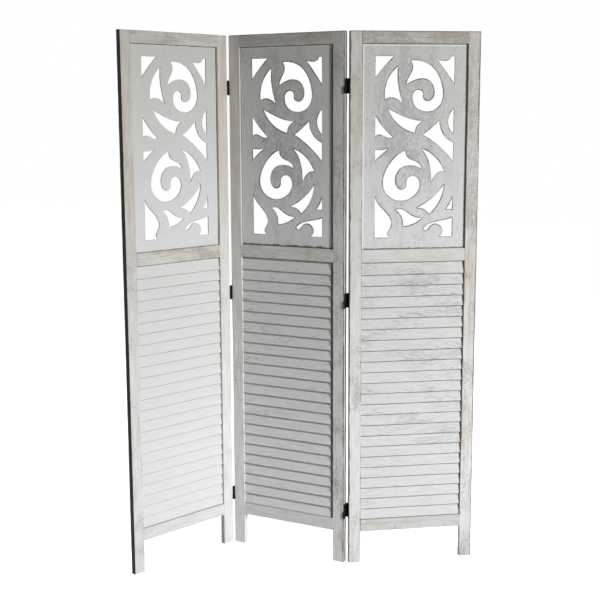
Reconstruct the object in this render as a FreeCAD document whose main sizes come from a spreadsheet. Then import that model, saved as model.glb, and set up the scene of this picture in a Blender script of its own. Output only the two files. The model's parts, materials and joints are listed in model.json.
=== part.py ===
"""Three-leaf folding screen in limewashed wood.

Each leaf is a frame of two stiles and three rails, with a scroll-cut fret board in the upper
opening and fixed louvre slats in the lower one.  The leaves hang together on three two-way
hinges at each of the two folds, so that each fold opens to the front and to the back.

Millimetres.  +Z is up, X runs along the middle leaf and -Y is the front.  The origin lies on
the floor, in the middle of the box that the standing screen fills.
"""
import FreeCAD
import Part
import Sketcher
import os
import re

from FreeCAD import Placement, Rotation, Vector

SLAT_COUNT = 24
KNUCKLES_PER_HALF = 3

# Driving dimensions: name, value, meaning.
DRIVING_SIZES = (
    ("panel_height", 1700.0, "floor to the top of a leaf"),
    ("panel_width", 412.0, "outer edge to outer edge of one leaf"),
    ("panel_thick", 18.0, "frame timber, front to back"),
    ("stile_width", 39.0, "upright, seen from the front"),
    ("top_rail_height", 38.0, "top rail, seen from the front"),
    ("middle_rail_height", 40.0, "middle rail, seen from the front"),
    ("bottom_rail_height", 39.0, "bottom rail, seen from the front"),
    ("middle_rail_base", 989.0, "floor to the underside of the middle rail"),
    ("leg_height", 105.0, "floor to the underside of the bottom rail"),
    ("board_thick", 3.0, "fret board"),
    ("groove_depth", 5.0, "groove in the frame for the board"),
    ("board_end_clear", 0.4, "board edge to the bottom of its groove"),
    ("board_face_clear", 0.1, "board face to the wall of its groove"),
    ("field_side_margin", 42.0, "stile to the cut pattern"),
    ("field_end_margin", 37.5, "rail to the cut pattern"),
    ("slat_thick", 5.0, "louvre slat"),
    ("slat_depth", 41.0, "louvre slat, edge to edge"),
    ("slat_tilt_angle", 12.0, "degrees that a slat leans, its lower edge to the front"),
    ("slat_entry", 6.0, "slat end housed in each stile"),
    ("slat_end_clear", 0.4, "slat end to the bottom of its slot"),
    ("slat_face_clear", 0.1, "slat face to the wall of its slot"),
    ("slat_rail_clear", 0.5, "first and last slat to their rails"),
    ("dowel_radius", 4.0, "dowel in the frame's corners"),
    ("dowel_length", 40.0, "dowel, half of it in each piece"),
    ("dowel_spacing", 18.0, "between the two dowels of one corner"),
    ("dowel_end_clear", 0.5, "dowel end to the bottom of its bore"),
    ("glued_clear", 0.02, "fit of a glued dowel, pressed pin or driven screw"),
    ("hinge_height", 46.0, "hinge, top to bottom"),
    ("lower_hinge_rise", 31.0, "bottom rail's top to the middle of the lower hinge"),
    ("middle_hinge_drop", 121.0, "middle rail's underside to the middle of the middle hinge"),
    ("upper_hinge_drop", 165.0, "top of a leaf to the middle of the upper hinge"),
    ("plate_thick", 1.2, "hinge leaf"),
    ("link_thick", 1.2, "link plate between two hinge leaves"),
    ("plate_clear", 0.45, "hinge leaf to link plate, folded shut"),
    ("plate_inset", 1.0, "hinge plate's edge inside the frame's face"),
    ("pin_stand", 2.5, "pin axis proud of the frame's face"),
    ("pin_radius", 1.6, "hinge pin"),
    ("pin_clear", 0.05, "running fit of a knuckle on its pin"),
    ("pin_end", 0.6, "pin proud of its knuckles at each end"),
    ("knuckle_radius", 3.1, "outside of a hinge knuckle"),
    ("knuckle_clear", 0.3, "between two knuckles on one pin"),
    ("screw_radius", 1.6, "hinge screw's shank"),
    ("screw_head_radius", 3.2, "hinge screw's countersunk head"),
    ("screw_length", 16.0, "hinge screw in the wood"),
    ("screw_point", 4.0, "tapered end of a hinge screw"),
    ("screw_tip_radius", 0.4, "blunt end of a hinge screw"),
    ("left_fold_angle", 71.6, "degrees that the left leaf stands forward of flat"),
    ("right_fold_angle", 36.3, "degrees that the right leaf stands back of flat"),
    ("overrun", 2.0, "cutting shape beyond the face it cuts"),
)

# Sizes that follow from the driving ones.
DERIVED_SIZES = (
    ("rail_length", "panel_width - 2 * stile_width"),
    ("top_rail_base", "panel_height - top_rail_height"),
    ("middle_rail_top", "middle_rail_base + middle_rail_height"),
    ("bottom_rail_top", "leg_height + bottom_rail_height"),
    ("board_entry", "groove_depth - board_end_clear"),
    ("board_width", "rail_length + 2 * board_entry"),
    ("board_base", "middle_rail_top - board_entry"),
    ("board_height", "top_rail_base + board_entry - board_base"),
    ("groove_width", "board_thick + 2 * board_face_clear"),
    ("field_width", "rail_length - 2 * field_side_margin"),
    ("field_height", "top_rail_base - middle_rail_top - 2 * field_end_margin"),
    ("slat_lean", "slat_thick * cos(slat_tilt_angle) + slat_depth * sin(slat_tilt_angle)"),
    ("slat_drop", "slat_thick * sin(slat_tilt_angle)"),
    ("slat_rise", "slat_depth * cos(slat_tilt_angle) + slat_drop"),
    ("slat_start", "bottom_rail_top + slat_rail_clear + slat_drop"),
    ("slat_run", "middle_rail_base - bottom_rail_top - slat_rise - 2 * slat_rail_clear"),
    ("lower_hinge_height", "bottom_rail_top + lower_hinge_rise"),
    ("middle_hinge_height", "middle_rail_base - middle_hinge_drop"),
    ("upper_hinge_height", "panel_height - upper_hinge_drop"),
    ("slot_entry", "slat_entry + slat_end_clear"),
    ("panel_gap", "2 * (plate_thick + plate_clear) + link_thick"),
    ("pin_offset", "panel_thick / 2 + pin_stand"),
    ("plate_width", "panel_thick - 2 * plate_inset"),
    ("tongue_reach", "pin_stand + plate_inset"),
    ("knuckle_bore", "pin_radius + pin_clear"),
    ("knuckle_step", f"hinge_height / 2 / {KNUCKLES_PER_HALF}"),
    ("knuckle_height", "knuckle_step - knuckle_clear"),
    ("pin_length", "hinge_height / 2 - knuckle_clear + 2 * pin_end"),
)

PANELS = ("left", "centre", "right")
HINGES = ("lower", "middle", "upper")
# Screws of one hinge leaf, as shares of the hinge's height.
SCREW_SHARES = (0.25, 0.75)

# Cut-outs of the fret board.  Each is a ring of runs: two points are a straight cut and more
# are one smooth curve.  A point is a share of the field's width and a share of its height.
FRET_CUT_SHARES = {
    "top_left_corner": (
        ((0.0, 1.0), (0.23, 1.0)),
        ((0.23, 1.0), (0.125, 0.953), (0.0, 0.885)),
        ((0.0, 0.885), (0.0, 1.0)),
    ),
    "left_fin": (
        ((0.285, 0.945), (0.195, 0.903), (0.14, 0.853), (0.122, 0.765)),
        ((0.122, 0.765), (0.195, 0.778), (0.265, 0.771), (0.345, 0.745)),
        ((0.345, 0.745), (0.3, 0.815), (0.278, 0.885), (0.285, 0.945)),
    ),
    "upper_scroll": (
        ((0.445, 0.976), (0.56, 0.975), (0.69, 0.952), (0.79, 0.903), (0.85, 0.83),
         (0.857, 0.78), (0.81, 0.73), (0.72, 0.704), (0.62, 0.702), (0.525, 0.72),
         (0.472, 0.765), (0.5, 0.81), (0.555, 0.817), (0.603, 0.8), (0.605, 0.774),
         (0.66, 0.756), (0.73, 0.772), (0.745, 0.825), (0.68, 0.87), (0.57, 0.881),
         (0.47, 0.868), (0.395, 0.848)),
        ((0.395, 0.848), (0.42, 0.885), (0.463, 0.92), (0.445, 0.976)),
    ),
    "top_right_corner": (
        ((1.0, 1.0), (0.955, 1.0)),
        ((0.955, 1.0), (0.925, 0.979), (0.865, 0.974), (0.785, 0.981)),
        ((0.785, 0.981), (0.89, 0.92), (1.0, 0.85)),
        ((1.0, 0.85), (1.0, 1.0)),
    ),
    "right_crescent": (
        ((1.0, 0.575), (1.0, 0.715)),
        ((1.0, 0.715), (0.943, 0.677), (0.928, 0.642), (0.947, 0.607), (1.0, 0.575)),
    ),
    "boat": (
        ((0.165, 0.714), (0.3, 0.684), (0.43, 0.661), (0.6, 0.647)),
        ((0.6, 0.647), (0.527, 0.618), (0.505, 0.583)),
        ((0.505, 0.583), (0.38, 0.604), (0.265, 0.643), (0.165, 0.714)),
    ),
    "left_tail": (
        ((0.0, 0.565), (0.0, 0.677)),
        ((0.0, 0.677), (0.09, 0.62), (0.22, 0.56)),
        ((0.22, 0.56), (0.155, 0.558), (0.07, 0.574), (0.0, 0.565)),
    ),
    "right_star": (
        ((0.818, 0.65), (0.725, 0.611), (0.61, 0.573)),
        ((0.61, 0.573), (0.75, 0.532), (0.875, 0.485), (1.0, 0.425)),
        ((1.0, 0.425), (1.0, 0.528)),
        ((1.0, 0.528), (0.908, 0.552), (0.845, 0.592), (0.818, 0.65)),
    ),
    "left_triangle": (
        ((0.0, 0.43), (0.0, 0.491)),
        ((0.0, 0.491), (0.075, 0.488), (0.175, 0.498)),
        ((0.175, 0.498), (0.085, 0.466), (0.0, 0.43)),
    ),
    "lower_scroll": (
        ((0.39, 0.484), (0.28, 0.457), (0.185, 0.41), (0.115, 0.345), (0.105, 0.29),
         (0.165, 0.238), (0.27, 0.21), (0.385, 0.208), (0.5, 0.232), (0.572, 0.285),
         (0.545, 0.33), (0.47, 0.343), (0.41, 0.322), (0.4, 0.283), (0.345, 0.266),
         (0.275, 0.288), (0.258, 0.332), (0.325, 0.387), (0.44, 0.403), (0.595, 0.383)),
        ((0.595, 0.383), (0.54, 0.418), (0.44, 0.438), (0.39, 0.484)),
    ),
    "right_upper_fin": (
        ((0.59, 0.494), (0.705, 0.47), (0.81, 0.427), (0.892, 0.367)),
        ((0.892, 0.367), (0.825, 0.366), (0.77, 0.345), (0.72, 0.31)),
        ((0.72, 0.31), (0.71, 0.382), (0.672, 0.441), (0.59, 0.494)),
    ),
    "right_lower_fin": (
        ((0.887, 0.295), (0.868, 0.243), (0.8, 0.178), (0.7, 0.128)),
        ((0.7, 0.128), (0.645, 0.154), (0.54, 0.164)),
        ((0.54, 0.164), (0.66, 0.193), (0.785, 0.238), (0.887, 0.295)),
    ),
    "right_triangle": (
        ((0.915, 0.154), (1.0, 0.154)),
        ((1.0, 0.154), (1.0, 0.226)),
        ((1.0, 0.226), (0.967, 0.187), (0.915, 0.154)),
    ),
    "bottom_left_corner": (
        ((0.0, 0.0), (0.0, 0.232)),
        ((0.0, 0.232), (0.095, 0.163), (0.18, 0.12), (0.214, 0.077), (0.19, 0.048),
         (0.165, 0.028), (0.198, 0.0)),
        ((0.198, 0.0), (0.0, 0.0)),
    ),
    "bottom_leaf": (
        ((0.275, 0.153), (0.36, 0.155), (0.44, 0.131), (0.51, 0.114), (0.612, 0.108)),
        ((0.612, 0.108), (0.51, 0.078), (0.365, 0.062)),
        ((0.365, 0.062), (0.345, 0.118), (0.275, 0.153)),
    ),
    "bottom_right_curl": (
        ((1.0, 0.0), (1.0, 0.107)),
        ((1.0, 0.107), (0.86, 0.09), (0.735, 0.078), (0.628, 0.048)),
        ((0.628, 0.048), (0.66, 0.036), (0.72, 0.062), (0.79, 0.074), (0.87, 0.048),
         (0.83, 0.0)),
        ((0.83, 0.0), (1.0, 0.0)),
    ),
}

doc = FreeCAD.newDocument("folding_screen")
sheet = doc.addObject("Spreadsheet::Sheet", "sizes")


def fill_sheet():
    """Write the driving sizes as plain numbers and the derived ones as formulas."""
    for row, (name, value, meaning) in enumerate(DRIVING_SIZES, start=1):
        sheet.set(f"A{row}", meaning)
        sheet.set(f"B{row}", str(value))
        sheet.setAlias(f"B{row}", name)
    doc.recompute()
    for row, (name, formula) in enumerate(DERIVED_SIZES, start=len(DRIVING_SIZES) + 1):
        sheet.set(f"B{row}", f"={formula}")
        sheet.setAlias(f"B{row}", name)
        doc.recompute()


SIZE_NAMES = {row[0] for row in DRIVING_SIZES + DERIVED_SIZES}


def size(name):
    """The value of one named size."""
    return float(sheet.get(name))


def bind(thing, **formulas):
    """Tie properties to formulas in the named sizes; x, y and z stand for the place."""
    for key, formula in formulas.items():
        tied = re.sub(
            r"[a-z_]+",
            lambda word: f"sizes.{word.group()}" if word.group() in SIZE_NAMES else word.group(),
            formula,
        )
        path = f"Placement.Base.{key}" if key in "xyz" else key
        thing.setExpression(path, tied)
    return thing


def box(name, length, width, height, x="0", y="0", z="0"):
    """Block whose lowest corner is at x, y, z."""
    thing = doc.addObject("Part::Box", name)
    return bind(thing, Length=length, Width=width, Height=height, x=x, y=y, z=z)


def cylinder(name, radius, height, x="0", y="0", z="0", along=Vector(0, 0, 1)):
    """Round bar that starts at x, y, z and runs along a direction."""
    thing = doc.addObject("Part::Cylinder", name)
    thing.Placement = Placement(Vector(), Rotation(Vector(0, 0, 1), along))
    return bind(thing, Radius=radius, Height=height, x=x, y=y, z=z)


def cone(name, start_radius, end_radius, height, x, y, z, along):
    """Tapered round bar that starts at x, y, z and runs along a direction."""
    thing = doc.addObject("Part::Cone", name)
    thing.Placement = Placement(Vector(), Rotation(Vector(0, 0, 1), along))
    return bind(thing, Radius1=start_radius, Radius2=end_radius, Height=height, x=x, y=y, z=z)


def group(name, pieces):
    """Several solids kept together without joining them."""
    thing = doc.addObject("Part::Compound", name)
    thing.Links = pieces
    return thing


def fuse(name, pieces):
    """Several solids joined to one."""
    thing = doc.addObject("Part::MultiFuse", name)
    thing.Shapes = pieces
    thing.Refine = True
    return thing


def cut(name, base, *tools):
    """A solid less each of the tools in turn."""
    for count, tool in enumerate(tools, start=1):
        thing = doc.addObject("Part::Cut", f"{name}_cut_{count}")
        thing.Base = base
        thing.Tool = tool
        base = thing
    return base


# Frame of one leaf.

def rail_bases():
    """Underside and height of each rail, as formulas."""
    return {
        "top_rail": ("top_rail_base", "top_rail_height"),
        "middle_rail": ("middle_rail_base", "middle_rail_height"),
        "bottom_rail": ("leg_height", "bottom_rail_height"),
    }


def corner_dowels(name, end_clear, face_clear):
    """Two dowels at each end of each rail, or their bores when the clearances aren't zero."""
    pins = []
    for rail, (base, height) in rail_bases().items():
        for edge, joint in (("left", "stile_width"), ("right", "panel_width - stile_width")):
            for step in ("-", "+"):
                pins.append(cylinder(
                    f"{name}_{rail}_{edge}",
                    radius=f"dowel_radius + {face_clear}",
                    height=f"dowel_length + 2 * {end_clear}",
                    x=f"{joint} - dowel_length / 2 - {end_clear}",
                    z=f"{base} + {height} / 2 {step} dowel_spacing / 2",
                    along=Vector(1, 0, 0),
                ))
    return group(name, pins)


def louvre_blocks(name, entry, face_clear):
    """The row of leaning slats, or their slots when the clearance isn't zero."""
    slats = []
    for place in range(SLAT_COUNT):
        slat = doc.addObject("Part::Box", f"{name}_{place + 1}")
        slat.Placement = Placement(Vector(), Rotation(Vector(1, 0, 0), -size("slat_tilt_angle")))
        lean = f"{face_clear} * (cos(slat_tilt_angle) + sin(slat_tilt_angle))"
        lift = f"{face_clear} * (cos(slat_tilt_angle) - sin(slat_tilt_angle))"
        bind(
            slat,
            Length=f"rail_length + 2 * {entry}",
            Width=f"slat_thick + 2 * {face_clear}",
            Height=f"slat_depth + 2 * {face_clear}",
            x=f"stile_width - {entry}",
            y=f"-slat_lean / 2 - {lean}",
            z=f"slat_start + {place} * slat_run / {SLAT_COUNT - 1} - {lift}",
        )
        slats.append(slat)
    return group(name, slats)


def board_groove():
    """Cutting block for the groove that runs round the upper opening."""
    return box(
        "board_groove",
        length="rail_length + 2 * groove_depth",
        width="groove_width",
        height="top_rail_base - middle_rail_top + 2 * groove_depth",
        x="stile_width - groove_depth",
        y="-groove_width / 2",
        z="middle_rail_top - groove_depth",
    )


def screw_heights():
    """Height of each hinge screw, as formulas."""
    return [
        f"{hinge}_hinge_height + hinge_height * ({share} - 1 / 2)"
        for hinge in HINGES
        for share in SCREW_SHARES
    ]


def hinge_screws(name, edge):
    """Countersunk screws that hold the hinge leaves to one edge of a leaf."""
    into = Vector(1, 0, 0) if edge == "left" else Vector(-1, 0, 0)
    step = "+" if edge == "left" else "-"
    wood = "0" if edge == "left" else "panel_width"
    screws = []
    for height in screw_heights():
        outside = "-" if edge == "left" else "+"
        head = cone(
            f"{name}_head", "screw_head_radius", "screw_radius", "plate_thick",
            f"{wood} {outside} plate_thick", "0", height, into,
        )
        shank = cylinder(
            f"{name}_shank", "screw_radius", "screw_length - screw_point", wood, "0", height, into,
        )
        point = cone(
            f"{name}_point", "screw_radius", "screw_tip_radius", "screw_point",
            f"{wood} {step} (screw_length - screw_point)", "0", height, into,
        )
        screws.append(fuse(f"{name}_screw", [head, shank, point]))
    return screws


def screw_bores(edge):
    """Bores in one edge of a leaf for its hinge screws."""
    start = "-overrun" if edge == "left" else "panel_width + overrun"
    into = Vector(1, 0, 0) if edge == "left" else Vector(-1, 0, 0)
    bores = [
        cylinder(
            f"{edge}_edge_bore", "screw_radius + glued_clear", "screw_length + overrun + glued_clear",
            start, "0", height, into,
        )
        for height in screw_heights()
    ]
    return group(f"{edge}_edge_bores", bores)


def frame_pieces(groove, slots, dowel_bores):
    """Stiles and rails, cut for the board, the slats, the dowels and the hinge screws."""
    pieces = {}
    for edge, start in (("left", "0"), ("right", "panel_width - stile_width")):
        blank = box(
            f"{edge}_stile_blank", "stile_width", "panel_thick", "panel_height",
            start, "-panel_thick / 2", "0",
        )
        plain = cut(f"{edge}_stile", blank, groove, slots, dowel_bores)
        pieces[f"{edge}_stile"] = plain
        pieces[f"{edge}_hinged_stile"] = cut(f"{edge}_hinged_stile", plain, screw_bores(edge))
    for rail, (base, height) in rail_bases().items():
        blank = box(
            f"{rail}_blank", "rail_length", "panel_thick", height,
            "stile_width", "-panel_thick / 2", base,
        )
        tools = (dowel_bores,) if rail == "bottom_rail" else (groove, dowel_bores)
        pieces[rail] = cut(rail, blank, *tools)
    return pieces


# Fret board.

def origin_plane(body, role):
    """One of a body's own origin planes."""
    return next(plane for plane in body.Origin.OriginFeatures if plane.Role == role)


def face_sketch(body, name):
    """Sketch on the body's front plane, X across and Y up."""
    sketch = body.newObject("Sketcher::SketchObject", name)
    sketch.AttachmentSupport = [(origin_plane(body, "XZ_Plane"), "")]
    sketch.MapMode = "FlatFace"
    return sketch


def draw_board_outline(sketch):
    """Rectangle of the board, centred across the leaf and tied to the named sizes."""
    left = (size("panel_width") - size("board_width")) / 2
    right = left + size("board_width")
    low = size("board_base")
    high = low + size("board_height")
    corners = [Vector(left, low), Vector(right, low), Vector(right, high), Vector(left, high)]
    for start, end in zip(corners, corners[1:] + corners[:1]):
        sketch.addGeometry(Part.LineSegment(start, end))
    for side in range(len(corners)):
        sketch.addConstraint(Sketcher.Constraint("Coincident", side, 2, (side + 1) % len(corners), 1))
    for side, kind in enumerate(("Horizontal", "Vertical", "Horizontal", "Vertical")):
        sketch.addConstraint(Sketcher.Constraint(kind, side))
    ties = (
        (Sketcher.Constraint("DistanceX", -1, 1, 0, 1, left), "(panel_width - board_width) / 2"),
        (Sketcher.Constraint("DistanceY", -1, 1, 0, 1, low), "board_base"),
        (Sketcher.Constraint("DistanceX", 0, 1, 0, 2, right - left), "board_width"),
        (Sketcher.Constraint("DistanceY", 1, 1, 1, 2, high - low), "board_height"),
    )
    for constraint, formula in ties:
        place = sketch.addConstraint(constraint)
        bind(sketch, **{f"Constraints[{place}]": formula})


def draw_fret_cuts(sketch):
    """Closed outlines of the cut-outs, laid on the field in the middle of the opening."""
    width = size("field_width")
    height = size("field_height")
    left = (size("panel_width") - width) / 2
    low = (size("middle_rail_top") + size("top_rail_base") - height) / 2
    for runs in FRET_CUT_SHARES.values():
        for run in runs:
            points = [Vector(left + across * width, low + up * height) for across, up in run]
            if len(points) == 2:
                sketch.addGeometry(Part.LineSegment(*points))
            else:
                curve = Part.BSplineCurve()
                curve.interpolate(points)
                sketch.addGeometry(curve)


def fret_board():
    """Thin board with the scroll pattern cut right through it."""
    body = doc.addObject("PartDesign::Body", "fret_board_form")
    outline = face_sketch(body, "board_outline")
    draw_board_outline(outline)
    board = body.newObject("PartDesign::Pad", "board")
    board.Profile = outline
    board.Midplane = True
    bind(board, Length="board_thick")
    doc.recompute()
    cuts = face_sketch(body, "fret_cuts")
    draw_fret_cuts(cuts)
    fret = body.newObject("PartDesign::Pocket", "fret")
    fret.Profile = cuts
    fret.Midplane = True
    bind(fret, Length="board_thick + 2 * overrun")
    body.Tip = fret
    doc.recompute()
    if fret.Shape.Volume >= board.Shape.Volume:
        raise RuntimeError("the fret cuts take nothing off the board")
    return body


# Two-way hinge, with the middle of the gap between two leaves at x = 0 and its foot at z = 0.

def knuckle_start(half, place):
    """Foot of one knuckle, counted from the outer end of its half of the hinge."""
    if half == "lower":
        return f"{place} * knuckle_step"
    return f"hinge_height - knuckle_height - {place} * knuckle_step"


def knuckles(name, half, places, thick, x):
    """Rolled knuckles on the pin of one half, each with the tongue that joins it to its plate.

    The pin of the lower half stands in front of the frame and the upper half's behind it.
    """
    pin_y = "-pin_offset" if half == "lower" else "pin_offset"
    tongue_y = "-pin_offset" if half == "lower" else "plate_width / 2"
    pieces = []
    for place in places:
        start = knuckle_start(half, place)
        pieces.append(cylinder(f"{name}_roll", "knuckle_radius", "knuckle_height", "0", pin_y, start))
        pieces.append(box(
            f"{name}_tongue", thick, "tongue_reach", "knuckle_height", x, tongue_y, start,
        ))
    return pieces


def pin_bore(name, half, radius):
    """Bore along the pin of one half."""
    pin_y = "-pin_offset" if half == "lower" else "pin_offset"
    start = "-overrun" if half == "lower" else "hinge_height - pin_length - overrun"
    return cylinder(f"{name}_bore", radius, "pin_length + 2 * overrun", "0", pin_y, start)


def hinge_plate(name, half):
    """Leaf of the hinge: the lower half's is on the left-hand panel, the upper half's on the right."""
    left_hand = half == "lower"
    x = "-panel_gap / 2" if left_hand else "panel_gap / 2 - plate_thick"
    plate = box(
        f"{name}_plate", "plate_thick", "plate_width", "hinge_height", x, "-plate_width / 2", "0",
    )
    rolls = knuckles(name, half, (0, KNUCKLES_PER_HALF - 1), "plate_thick", x)
    solid = fuse(f"{name}_solid", [plate] + rolls)
    face = "plate_thick - panel_gap / 2" if left_hand else "panel_gap / 2 - plate_thick"
    sinks = [
        cone(
            f"{name}_sink", "screw_head_radius + glued_clear", "screw_radius + glued_clear",
            "plate_thick", face, "0", f"hinge_height * {share}",
            Vector(-1, 0, 0) if left_hand else Vector(1, 0, 0),
        )
        for share in SCREW_SHARES
    ]
    return cut(name, solid, pin_bore(name, half, "knuckle_bore"), *sinks)


def hinge_link():
    """Plate in the gap that joins the front pin of the lower half to the back pin of the upper."""
    plate = box(
        "link_plate", "link_thick", "plate_width", "hinge_height",
        "-link_thick / 2", "-plate_width / 2", "0",
    )
    rolls = []
    bores = []
    for half in ("lower", "upper"):
        rolls += knuckles(f"link_{half}", half, (1,), "link_thick", "-link_thick / 2")
        bores.append(pin_bore(f"link_{half}", half, "pin_radius + glued_clear"))
    return cut("link", fuse("link_solid", [plate] + rolls), *bores)


def hinge_pins():
    """The front pin and the back pin of one hinge."""
    pins = []
    for half in ("lower", "upper"):
        pin_y = "-pin_offset" if half == "lower" else "pin_offset"
        start = "-pin_end" if half == "lower" else "hinge_height + pin_end - pin_length"
        pins.append(cylinder(f"{half}_pin", "pin_radius", "pin_length", "0", pin_y, start))
    return group("pin_pair", pins)


# Standing screen.

def turned_about(pivot, degrees, place):
    """A place turned about an upright axis through a point."""
    turn = Placement(Vector(), Rotation(Vector(0, 0, 1), degrees), pivot)
    return turn.multiply(place)


def panel_places():
    """Place of each leaf, folded as the screen stands, with the floor box centred."""
    step = size("panel_width") + size("panel_gap")
    half_gap = size("panel_gap") / 2
    front_pin = Vector(-half_gap, -size("pin_offset"), 0)
    back_pin = Vector(size("panel_width") + half_gap, size("pin_offset"), 0)
    places = {
        "left": turned_about(front_pin, size("left_fold_angle"), Placement(Vector(-step, 0, 0), Rotation())),
        "centre": Placement(),
        "right": turned_about(back_pin, size("right_fold_angle"), Placement(Vector(step, 0, 0), Rotation())),
    }
    corners = [
        place.multVec(Vector(across, side * size("panel_thick") / 2, 0))
        for place in places.values()
        for across in (0, size("panel_width"))
        for side in (-1, 1)
    ]
    shift = Vector(
        -(min(point.x for point in corners) + max(point.x for point in corners)) / 2,
        -(min(point.y for point in corners) + max(point.y for point in corners)) / 2,
        0,
    )
    centring = Placement(shift, Rotation())
    return {panel: centring.multiply(place) for panel, place in places.items()}


def stand(name, form, place, nodes):
    """One sub-part of the screen: a form set in its place, under its own name."""
    node = group(name, [form] if not isinstance(form, list) else form)
    node.Label = name
    node.Placement = place
    nodes.append(node)


def assemble():
    """Make every form once and set it wherever the screen has it."""
    fill_sheet()
    slots = louvre_blocks("slat_slot", "slot_entry", "slat_face_clear")
    dowel_bores = corner_dowels("dowel_bores", "dowel_end_clear", "glued_clear")
    forms = frame_pieces(board_groove(), slots, dowel_bores)
    board = fret_board()
    slats = louvre_blocks("slat", "slat_entry", "0")
    dowels = corner_dowels("dowels", "0", "0")
    screws = {edge: hinge_screws(f"{edge}_edge", edge) for edge in ("left", "right")}
    front_plate = hinge_plate("front_plate", "lower")
    back_plate = hinge_plate("back_plate", "upper")
    link = hinge_link()
    pins = hinge_pins()
    doc.recompute()

    nodes = []
    places = panel_places()
    hinged_edges = {"left": ("right",), "centre": ("left", "right"), "right": ("left",)}
    for panel in PANELS:
        place = places[panel]
        for edge in ("left", "right"):
            kind = "hinged_stile" if edge in hinged_edges[panel] else "stile"
            stand(f"{panel}_panel_{edge}_stile", forms[f"{edge}_{kind}"], place, nodes)
        for rail in rail_bases():
            stand(f"{panel}_panel_{rail}", forms[rail], place, nodes)
        stand(f"{panel}_panel_fret_board", board, place, nodes)
        stand(f"{panel}_panel_louvre_slats", slats, place, nodes)
        stand(f"{panel}_panel_dowels", dowels, place, nodes)
        fixings = [screw for edge in hinged_edges[panel] for screw in screws[edge]]
        stand(f"{panel}_panel_hinge_screws", fixings, place, nodes)
    half_gap = size("panel_gap") / 2
    for fold, left_hand, right_hand in (("left", "left", "centre"), ("right", "centre", "right")):
        for hinge in HINGES:
            foot = size(f"{hinge}_hinge_height") - size("hinge_height") / 2
            on_left = places[left_hand].multiply(
                Placement(Vector(size("panel_width") + half_gap, 0, foot), Rotation()))
            on_right = places[right_hand].multiply(
                Placement(Vector(-half_gap, 0, foot), Rotation()))
            on_centre = on_right if fold == "left" else on_left
            stand(f"{fold}_{hinge}_hinge_front_plate", front_plate, on_left, nodes)
            stand(f"{fold}_{hinge}_hinge_back_plate", back_plate, on_right, nodes)
            stand(f"{fold}_{hinge}_hinge_link", link, on_centre, nodes)
            stand(f"{fold}_{hinge}_hinge_pins", pins, on_centre, nodes)
    doc.recompute()
    return nodes


def write_parts(nodes):
    """Check every form, then write one file for each sub-part."""
    for thing in doc.Objects:
        if "Invalid" in thing.State or "Error" in thing.State:
            raise RuntimeError(f"{thing.Label} failed: {thing.State}")
    for node in nodes:
        if node.Shape.isNull() or not node.Shape.isValid() or not node.Shape.Solids:
            raise RuntimeError(f"{node.Label} has no sound shape")
    os.makedirs("parts", exist_ok=True)
    for node in nodes:
        node.Shape.exportStep(f"parts/{node.Label}.step")
    print(f"{len(nodes)} sub-parts written")


write_parts(assemble())
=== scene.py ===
"""Looks of a three-leaf folding screen in limewashed wood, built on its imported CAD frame."""

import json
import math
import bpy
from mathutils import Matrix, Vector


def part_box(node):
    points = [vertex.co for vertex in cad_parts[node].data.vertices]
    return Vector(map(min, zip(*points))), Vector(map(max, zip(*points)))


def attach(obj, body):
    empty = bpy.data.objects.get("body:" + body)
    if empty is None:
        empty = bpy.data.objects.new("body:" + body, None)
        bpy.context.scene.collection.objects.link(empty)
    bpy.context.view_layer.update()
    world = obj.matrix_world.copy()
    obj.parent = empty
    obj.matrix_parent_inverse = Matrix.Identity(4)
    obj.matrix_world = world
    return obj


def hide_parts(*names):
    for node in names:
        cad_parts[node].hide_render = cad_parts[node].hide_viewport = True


bl_info = {
    "name": "Limewashed folding screen",
    "version": (1, 0, 0),
    "blender": (4, 5, 0),
    "location": "3D View > Sidebar > Screen",
    "description": "Frames, louvre slats, fret boards, hinges and studio of a folding screen",
    "category": "Object",
}

from itertools import product

import bmesh
import bpy
import numpy as np
from mathutils import Matrix, Vector

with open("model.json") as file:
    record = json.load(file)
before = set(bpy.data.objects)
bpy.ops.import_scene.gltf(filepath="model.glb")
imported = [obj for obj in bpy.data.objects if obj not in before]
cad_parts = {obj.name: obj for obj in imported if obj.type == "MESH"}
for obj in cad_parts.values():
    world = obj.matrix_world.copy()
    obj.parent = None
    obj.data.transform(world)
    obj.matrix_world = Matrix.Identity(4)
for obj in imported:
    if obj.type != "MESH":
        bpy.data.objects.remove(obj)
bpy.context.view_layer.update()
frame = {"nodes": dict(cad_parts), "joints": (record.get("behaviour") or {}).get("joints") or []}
JOINTS = {joint["name"]: joint for joint in frame["joints"]}
LEAVES = ("left", "centre", "right")
SIDES = ("left", "right")
RAILS = ("top_rail", "middle_rail", "bottom_rail")
HINGES = ("lower", "middle", "upper")


def by_leaf(*values):
    """One value for each leaf, from left to right."""
    return dict(zip(LEAVES, values))


# Sizes of one leaf, read from the middle leaf, which stands square to the frame.
STILE_LOW, STILE_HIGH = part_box("centre_panel_left_stile")
LEAF_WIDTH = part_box("centre_panel_right_stile")[1].x - STILE_LOW.x
LEAF_HEIGHT = STILE_HIGH.z
LEAF_THICK = STILE_HIGH.y - STILE_LOW.y
LEAF_ORIGIN = np.array([STILE_LOW.x, (STILE_LOW.y + STILE_HIGH.y) / 2])
STILE_WIDTH = STILE_HIGH.x - STILE_LOW.x
SLAT_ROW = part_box("centre_panel_louvre_slats")
SLAT_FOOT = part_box("centre_panel_bottom_rail")[1].z
SLAT_HEAD, BOARD_FOOT = [corner.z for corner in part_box("centre_panel_middle_rail")]
BOARD_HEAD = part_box("centre_panel_top_rail")[0].z

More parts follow.
